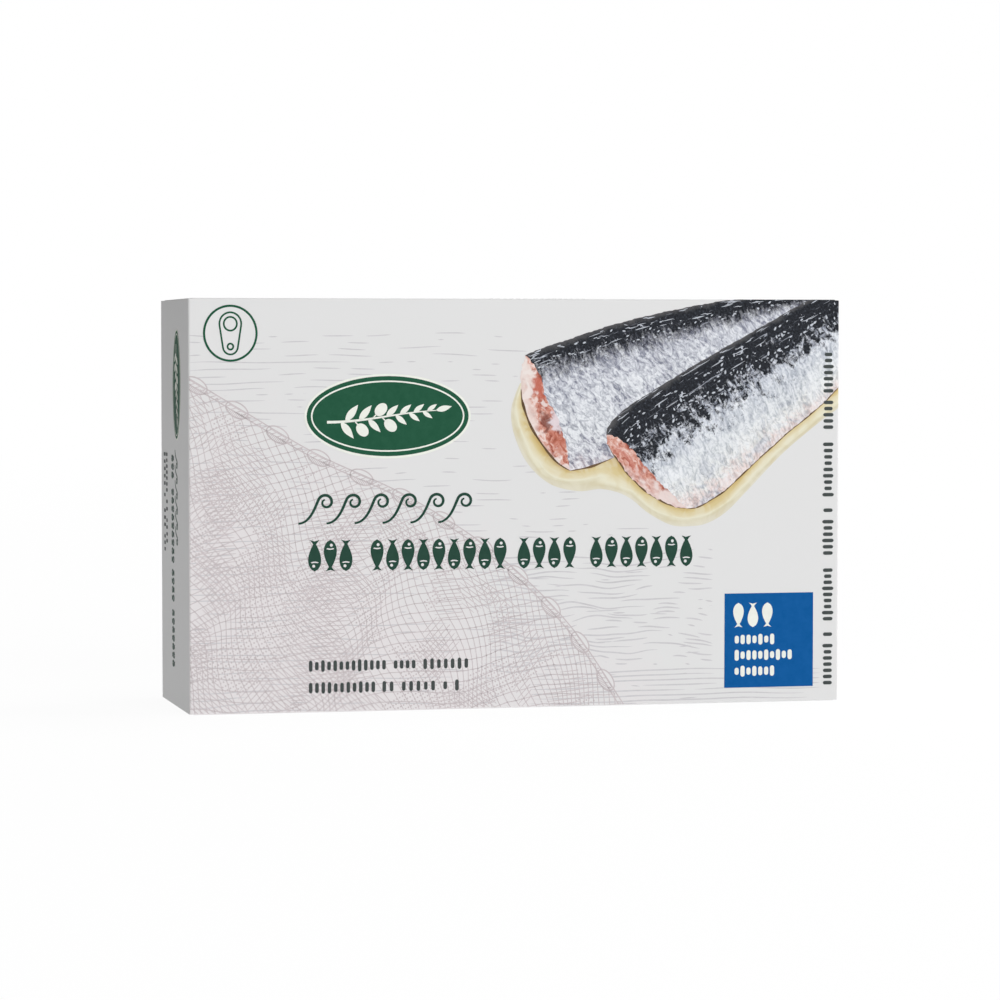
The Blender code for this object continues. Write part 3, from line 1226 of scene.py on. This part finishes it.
# Marks of each cut: middle and reach (along, across), share, colour
cutMarks = {
    "rear": [((0.14, 0.62), (0.20, 0.50), 0.75, (233, 223, 218)),
             ((0.31, 0.20), (0.10, 0.34), 0.85, (188, 98, 80)),
             ((0.46, 0.85), (0.20, 0.30), 0.60, (234, 218, 212)),
             ((0.62, 0.44), (0.12, 0.22), 0.80, (116, 62, 54)),
             ((0.64, 0.12), (0.10, 0.30), 0.85, (226, 218, 224)),
             ((0.84, 0.36), (0.14, 0.36), 0.55, (190, 112, 92))],
    "front": [((0.30, 0.55), (0.24, 0.22), 0.35, (198, 120, 108)),
              ((0.86, 0.30), (0.12, 0.40), 0.60, (228, 216, 212))],
}
cutSway = (0.20, 0.70)     # how far their outlines wander, along and across


def fleshMaterial(kind):
    # flesh of a cut end: salmon with red streaks, pale towards one side, with white patches
    start, across, along, paleColour, whiteShare = skins[kind]["rim"]
    material, tree, shader, place = newMaterial(kind + "FleshInk")
    flat = addNode(tree, "ShaderNodeUVMap", uv_map="flat")
    flatAlong, flatAcross = splitNode(tree, flat)[:2]
    lengthwise = addNode(tree, "ShaderNodeVectorMath", {0: flat, 1: (7.5, 2.6, 1)}, operation="MULTIPLY")
    flakes = noiseNode(tree, lengthwise, 1.0, 4, 0.62, 1.1)
    fibre = noiseNode(tree, place, 2100.0, 4, 0.7, 0.5)
    clouds = noiseNode(tree, place, 420.0, 3, 0.5, 0.8)
    flesh = rampNode(tree, stretch(tree, fibre, 0.36, flakes),
                     (0.54, (232, 208, 202)), (0.62, (217, 170, 156)), (0.70, (200, 136, 120)),
                     (0.79, (170, 96, 80)), (0.90, (118, 62, 52)))
    rim = stretch(tree, flatAcross, across, stretch(tree, clouds, 0.9, start))
    rim = mathNode(tree, "MULTIPLY", stretch(tree, flatAlong, along, rim), 0.7)
    flesh = mixNode(tree, rampNode(tree, rim, (0.66, 0), (0.84, 0.85)), flesh, paleColour)
    flesh = mixNode(tree, rampNode(tree, clouds, (0.56, 0), (0.61, whiteShare)), flesh, (238, 230, 228))
    sockets = {"Vector": place, "Scale": 900.0, "Detail": 3}
    sway = addNode(tree, "ShaderNodeTexNoise", sockets).outputs["Color"]
    sockets = {0: sway, 1: (*cutSway, 0), 2: flat}
    swayed = addNode(tree, "ShaderNodeVectorMath", sockets, operation="MULTIPLY_ADD")
    for middle, reach, share, colour in cutMarks[kind]:
        centre = [m + wander / 2 for m, wander in zip(middle, cutSway)]
        spot = mappingNode(tree, swayed, location=(*centre, 0), scale=(*reach, 1))
        ball = addNode(tree, "ShaderNodeTexGradient", {"Vector": spot}, gradient_type="SPHERICAL")
        factor = rampNode(tree, ball.outputs["Fac"], (0.02, 0), (0.42, share))
        flesh = mixNode(tree, factor, flesh, colour)
    return varnished(material, tree, shader, place, flesh)


def oilMaterial():
    # olive oil: golden beside the fish, pale over the pool, a light line inside its rim
    material, tree, shader, place = newMaterial("oilInk")
    flat = addNode(tree, "ShaderNodeUVMap", uv_map="flat")
    sway = oilPool["sway"]
    waved = stretch(tree, noiseNode(tree, flat, 3.0, 3, 0.5, 0.5), sway, splitNode(tree, flat)["Y"])
    oil = rampNode(tree, mathNode(tree, "SUBTRACT", waved, sway / 2), *oilPool["stops"])
    drops = noiseNode(tree, place, 260.0, 2, 0.5, 1.6)
    oil = mixNode(tree, rampNode(tree, drops, (0.50, 0), (0.66, 0.35)), oil, (228, 224, 206))
    oil = mixNode(tree, rampNode(tree, drops, (0.30, 0.30), (0.46, 0)), oil, (206, 188, 138))
    return varnished(material, tree, shader, place, oil)


contact = {"line": 0.52, "colour": (104, 82, 60), "rise": 9, "fall": 7, "thinning": 0.4}


def makeOil():
    flat, line = bmesh.new(), bmesh.new()
    inner, outer = oilPool["inner"], oilPool["outer"]
    addPatch(flat, inner, outer, [inner[0], outer[0]], [inner[-1], outer[-1]], 150, 8)
    printFlat("oilPool", flat, "oil", oilMaterial())
    rear, front = trunks["rear"], trunks["front"]
    for edge in (rear["cutEdge"][2:], rear["belly"][:3], front["cutEdge"][1:], front["belly"][:8]):
        run = smoothLine(edge, 8)
        widths = []
        for i in range(len(run)):
            taper = min(1.0, (i + 0.6) / contact["rise"], (len(run) - i) / contact["fall"])
            taper *= 1 - contact["thinning"] * i / len(run)
            widths.append(contact["line"] * taper * (0.8 + 0.2 * math.sin(i * 0.9)))
        addStroke(line, run, widths)
    printFlat("contactShade", line, "contact", inkMaterial("contactInk", contact["colour"], 0.2))


uneven = (0.035, 0.08)     # bumps of a trunk's long outlines, and of its cut

flecks = {
    "rear": {"perArea": 0.9, "sizeLow": 0.16, "sizeHigh": 0.62, "turn": 0.30, "turnSpread": 0.5, "seed": 8},
    "front": {"perArea": 1.3, "sizeLow": 0.14, "sizeHigh": 0.78, "turn": 0.95, "turnSpread": 1.0, "seed": 3},
}

scratches = {
    "rear": {"count": 46, "depth": 0.14, "long": (0.5, 2.6), "line": (0.07, 0.16), "seed": 21},
    "front": {"count": 48, "depth": 0.22, "long": (0.4, 2.6), "line": (0.06, 0.13), "seed": 34},
}


def makeScratches(kind, trunk):
    # fine light lines that run along the fish's dark back
    setting = scratches[kind]
    draw = random.Random(setting["seed"])
    flat = bmesh.new()
    for _ in range(setting["count"]):
        s, t = draw.random() ** 1.5 * 0.9, 0.012 + setting["depth"] * draw.random() ** 1.4
        reach = draw.uniform(*setting["long"]) / 60
        lean = draw.uniform(-0.012, 0.02)
        run = [patchPoint(trunk, min(s + reach * i / 7, 0.99), t + lean * i / 7) for i in range(8)]
        width = draw.uniform(*setting["line"])
        addStroke(flat, run, [width * (0.25 + math.sin(math.pi * i / 7)) for i in range(8)])
    return flat


def makeTrunk(kind):
    trunk, skin = trunks[kind], skins[kind]
    sheet, cut = bmesh.new(), bmesh.new()
    run = sum(math.dist(a, b) for a, b in zip(trunk["belly"], trunk["belly"][1:])) / 20

    def weigh(s, t):
        # most flecks lie where the dark back breaks up
        edge = skin["darkStart"] + skin["darkGrow"] * s * run
        return max(0.08 if t < edge else 0.0, 1 - abs(t - edge * 0.7) / (edge * 0.6))

    addPatch(sheet, trunk["back"], trunk["belly"], trunk["skinEdge"], trunk["farEnd"], 120, 40, weigh, uneven)
    addPatch(cut, trunk["skinEdge"], trunk["cutEdge"], [trunk["skinEdge"][0], trunk["cutEdge"][0]],
             [trunk["skinEdge"][-1], trunk["cutEdge"][-1]], 40, 6, None, uneven[::-1])
    mesh = bpy.data.meshes.new("surface")
    sheet.to_mesh(mesh)
    shape = shapeObject([(-0.5, -0.05), (-0.22, -0.24), (0.2, -0.18),
                         (0.5, 0.02), (0.16, 0.22), (-0.3, 0.17)])
    strewn = grow("scatter", mesh, "silver", shape=shape, **flecks[kind])
    bpy.data.objects.remove(shape)
    printFlat(kind + "TrunkSkin", sheet, kind + "Skin", skinMaterial(kind))
    printFlat(kind + "TrunkCut", cut, kind + "Cut", fleshMaterial(kind))
    marks = mergeFlats([strewn, makeScratches(kind, trunk)])
    printFlat(kind + "TrunkFlecks", marks, kind + "Flecks", "silver")


makeOil()
makeTrunk("rear")
makeTrunk("front")
print("print: picture of the fish")


# Engraved sea behind the type: swell, a hanging net with its floats
net = {
    "rope": [(-2.0, 52.5), (8.0, 46.5), (20.0, 39.5), (34.0, 33.0), (48.0, 24.0), (60.0, 12.5),
             (70.0, -2.0)],
    "mesh": 1.9,         # size of the diamonds
    "hang": 52.0,
    "lean": -0.32,       # the net hangs a little to the left
    "folds": 5,
    "foldDepth": 1.3,
    "line": 0.115,
    "knot": 0.13,
    "float": (1.9, 1.1),
}


def netPoint(rope, s, d):
    # s runs 0 to 1 along the head rope, d is millimetres down the net
    x, y = rope[int(max(0.0, min(1.0, s)) * (len(rope) - 1))]
    fold = net["foldDepth"] * math.sin(s * net["folds"] * 2 * math.pi + d * 0.05) * min(1.0, d / 18)
    return x + net["lean"] * d + fold, y - d * (0.86 + 0.06 * math.sin(s * 21.0))


def netLines(side):
    rope = resample(smoothLine(net["rope"], 12), 600)
    ropeRun = sum(math.dist(a, b) for a, b in zip(rope, rope[1:]))
    step = net["mesh"] / 2
    strands = int((ropeRun + net["hang"]) / net["mesh"])
    lines = []
    for k in range(-strands, strands):
        line = []
        for i in range(int(net["hang"] / step)):
            s = (k * net["mesh"] + side * i * step) / ropeRun
            if 0 <= s <= 1:
                line.append(netPoint(rope, s, i * step))
        if len(line) > 1:
            lines.append(line)
    return lines, rope


def trimToFront(flat, right=0.1, top=0.5):
    for axis, place, below in ((0, 0.05, False), (0, length - right, True),
                               (1, 0.15, False), (1, height - top, True)):
        clipFlat(flat, axis, place, below)
    return flat


def makeNet():
    for side, name, layer in ((1, "netStrands", "net"), (-1, "netCrossStrands", "netCross")):
        lines, rope = netLines(side)
        knot = net["knot"] if side < 0 else 0.01
        flat = grow("strands", lineMesh(lines), "engraved", lineWidth=net["line"], knot=knot)
        printFlat(name, trimToFront(flat), layer, "engraved")
    rope = rope[::6]
    flat, faces = bmesh.new(), bmesh.new()
    for offset in (-0.34, 0.34):
        addStroke(flat, [(x + offset * 0.5, y + offset) for x, y in rope], 0.17)
    for (x0, y0), (x1, y1) in zip(rope, rope[1:]):
        addStroke(flat, [(x0 - 0.17, y0 - 0.34), (x1 - 0.1, y1 + 0.34)], 0.13)
    long, tall = net["float"]
    for i in range(4, len(rope) - 1, 8):
        (x0, y0), (x1, y1) = rope[i], rope[i + 1]
        place = (x0, y0, math.degrees(math.atan2(y1 - y0, x1 - x0)), 1.0)
        addPolygon(faces, placed(oval(0, 0, long, tall, 28), place))
        addStroke(flat, placed(oval(0, 0, long, tall, 28), place), 0.2, closed=True)
        for k in range(-6, 7):
            edge = tall * math.sqrt(1 - (k / 7) ** 2)
            x = k * long / 7
            addStroke(flat, placed([(x, -edge), (x + 0.12, -edge * 0.25 + 0.05 * k)], place), 0.13)
        addStroke(flat, placed([(-long * 0.8, tall * 0.2), (long * 0.8, tall * 0.2)], place), 0.12)
    printFlat("netFloatFaces", trimToFront(faces), "floatFaces", "ground")
    printFlat("netRopeAndFloats", trimToFront(flat), "floats", "engraved")


swells = {
    # the open sea, then two patches of surf at the lower right
    "sea": {"at": (0.0, 0.0), "top": 64.0, "values": {
        "rows": 58, "rowGap": 1.02, "run": 84.0, "steps": 170, "waveHeight": 3.2, "waveSize": 16.0,
        "lineWidth": 0.17, "fullness": 0.56, "thinning": 0.0022, "seed": 3}},
    "surf": {"at": (47.0, 6.0), "top": 25.0, "values": {
        "rows": 22, "rowGap": 0.86, "run": 37.0, "steps": 90, "waveHeight": 9.0, "waveSize": 13.0,
        "lineWidth": 0.24, "fullness": 0.64, "thinning": 0.0042, "seed": 6}},
    "shore": {"at": (54.0, 0.6), "top": 7.0, "values": {
        "rows": 7, "rowGap": 0.78, "run": 48.0, "steps": 90, "waveHeight": 1.6, "waveSize": 14.0,
        "lineWidth": 0.22, "fullness": 0.64, "thinning": 0.001, "seed": 9}},
}


def makeSwell():
    bands = {}
    for name, band in swells.items():
        empty = bpy.data.meshes.new("empty")
        empty.from_pydata([(0, 0, 0)], [], [])
        flat = grow("swell", empty, "engravedGrey", **band["values"])
        bmesh.ops.translate(flat, verts=flat.verts, vec=(*band["at"], 0))
        clipFlat(flat, 1, band["top"], True)
        bands[name] = trimToFront(flat, right=3, top=5)
    surf = mergeFlats([bands["surf"], bands["shore"]])
    printFlat("surfLines", surf, "surf", "engravedGrey")
    printFlat("swellLines", bands["sea"], "swell", "engravedGrey")


tone = {
    # way the strokes run, gap between them, size of their patches, level they start at, seed
    "falling": (-40.0, 0.60, 8.5, 0.10, 2.7),
    "rising": (48.0, 0.72, 7.0, 0.20, 9.1),
    "level": (6.0, 0.62, 9.0, 0.20, 5.3),
    "stipple": (28.0, 0.66, 7.5, 0.04, 14.2),
    "line": 0.125,
    "dotSize": 0.15,
    "reach": 46.0,
    "step": 0.5,
    "centre": (32, 24),
    "edge": 69,             # no stroke lies right of here
    "rope": (2, 72, 200),   # the rope's start left of the sheet, its length and its number of places
    "clear": 1.2,           # strokes keep this far below the rope
    "fade": (0.004, 20),    # lighter by this much for each millimetre right of there
    "bend": (0.6, 9),       # how far strokes bend, and over what length
}


def toneRuns(setting, draw):
    # parallel rows of places under the net, broken where the tone is light
    angle, gap, size, level, seed = setting
    turn = math.radians(angle)
    centreX, centreY = tone["centre"]
    before, span, places = tone["rope"]
    fade, fadeFrom = tone["fade"]
    bend, bendSize = tone["bend"]
    rope = resample(smoothLine(net["rope"], 12), places)
    count, steps = int(tone["reach"] / gap), int(tone["reach"] / tone["step"])
    runs = []
    for i in range(-count, count):
        run, ragged = [], draw.uniform(-0.04, 0.04)
        for j in range(-steps, steps + 1):
            along, across = j * tone["step"], i * gap
            x = centreX + along * math.cos(turn) - across * math.sin(turn)
            y = centreY + along * math.sin(turn) + across * math.cos(turn)
            above = rope[min(places - 1, int((x + before) / span * (places - 1)))]
            onSheet = 0 < x < tone["edge"] and 0 < y < above[1] - tone["clear"]
            dark = noise.noise(Vector((x / size, y / size, seed))) + fade * (fadeFrom - x)
            if onSheet and dark > level + ragged:
                sway = bend * noise.noise(Vector((x / bendSize, y / bendSize, seed + 4)))
                run.append((x - sway * math.sin(turn), y + sway * math.cos(turn)))
                continue
            if len(run) > 3:
                runs.append(run)
            run = []
    return runs


def makeTone():
    # hatching and rows of dots, as an engraver shades
    draw = random.Random(19)
    for name in ("falling", "rising", "level"):
        flat = bmesh.new()
        for run in toneRuns(tone[name], draw):
            few = run[::3] + [run[-1]]
            addStroke(flat, few, [tone["line"] * (0.5 + 0.5 * math.sin(math.pi * i / (len(few) - 1)))
                                  for i in range(len(few))])
        printFlat(name + "Hatch", trimToFront(flat), name, "engraved")
    places = [[place] for run in toneRuns(tone["stipple"], draw) for place in run]
    dots = grow("strands", lineMesh(places), "engraved", knot=tone["dotSize"])
    printFlat("stippleDots", trimToFront(dots), "stipple", "engraved")


makeNet()
makeSwell()
makeTone()
print("print: engraved sea")


# Camera, light and ground
view = {
    "place": (-0.13400, -0.56666, 0.05648),   # metres, from the photograph's perspective
    "heading": 13.33,                          # degrees right of straight on
    "down": 2.41,
    "lens": 130.8,
}


def makeCamera():
    data = bpy.data.cameras.new("camera")
    data.lens = view["lens"]
    data.sensor_width = 36.0
    data.clip_start = 0.05
    camera = addObject("camera", data)
    camera.location = view["place"]
    camera.rotation_euler = (math.radians(90 - view["down"]), 0, -math.radians(view["heading"]))
    bpy.context.scene.camera = camera


makeCamera()

studio = {
    "key": {"place": (0.48, -1.45, 0.75), "size": 0.9, "power": 17.5},
    "top": {"place": (0.85, 0.10, 1.30), "size": 1.1, "power": 16.0},
    "back": {"place": (0.60, 1.20, 0.70), "size": 0.8, "power": 5.0},
    "tableNear": 0.95,     # glow of the table under the carton
    "tableFar": 1.0,       # and where it meets the background
    "nearEnd": 0.15,       # metres from the carton between which it changes
    "farStart": 1.3,
    "tableReach": 6.0,
    "skyGlow": 0.02,
}


def makeLight(name, setting):
    data = bpy.data.lights.new(name, "AREA")
    data.size = setting["size"]
    data.energy = setting["power"]
    light = addObject(name, data)
    light.location = setting["place"]
    aim = Vector((0, 0, height * mm / 2)) - Vector(setting["place"])
    light.rotation_euler = aim.to_track_quat("-Z", "Y").to_euler()


for lightName in ("key", "top", "back"):
    makeLight(lightName + "Light", studio[lightName])


def makeGround():
    # a pale table that glows almost white, as a light table does, and glows more away from the carton:
    # painted light, which hides the carton's shadow on it and lights the carton's left end
    mesh = bpy.data.meshes.new("floor")
    reach = studio["tableReach"]
    mesh.from_pydata([(-reach, -reach, 0), (reach, -reach, 0), (reach, reach, 0), (-reach, reach, 0)],
                     [], [(0, 1, 2, 3)])
    material, tree, shader, place = newMaterial("glowingTable")
    away = addNode(tree, "ShaderNodeVectorMath", {0: place}, operation="LENGTH").outputs["Value"]
    far = addNode(tree, "ShaderNodeMapRange", {
        "Value": away, "From Min": studio["nearEnd"], "From Max": studio["farStart"],
        "To Min": studio["tableNear"], "To Max": studio["tableFar"]}, interpolation_type="SMOOTHSTEP")
    # painted light: the table reflects less where it glows more, so a shadow on it barely shows
    feed(tree, shader, {"Base Color": stretch(tree, far, -1.1, 1.1), "Roughness": 0.9,
                        "Specular IOR Level": 0.0, "Emission Color": (1, 1, 1, 1),
                        "Emission Strength": far})
    mesh.materials.append(material)
    addObject("floor", mesh)


makeGround()


def makeSky():
    world = bpy.data.worlds.new("studio")
    bpy.context.scene.world = world
    world.use_nodes = True
    tree = world.node_tree
    seen = addNode(tree, "ShaderNodeLightPath").outputs["Is Camera Ray"]
    strength = stretch(tree, seen, 1.0 - studio["skyGlow"], studio["skyGlow"])
    feed(tree, tree.nodes["Background"], {"Color": (1, 1, 1, 1), "Strength": strength})


makeSky()
bpy.context.scene.view_settings.view_transform = "Standard"
print("stage: camera, lights, table")
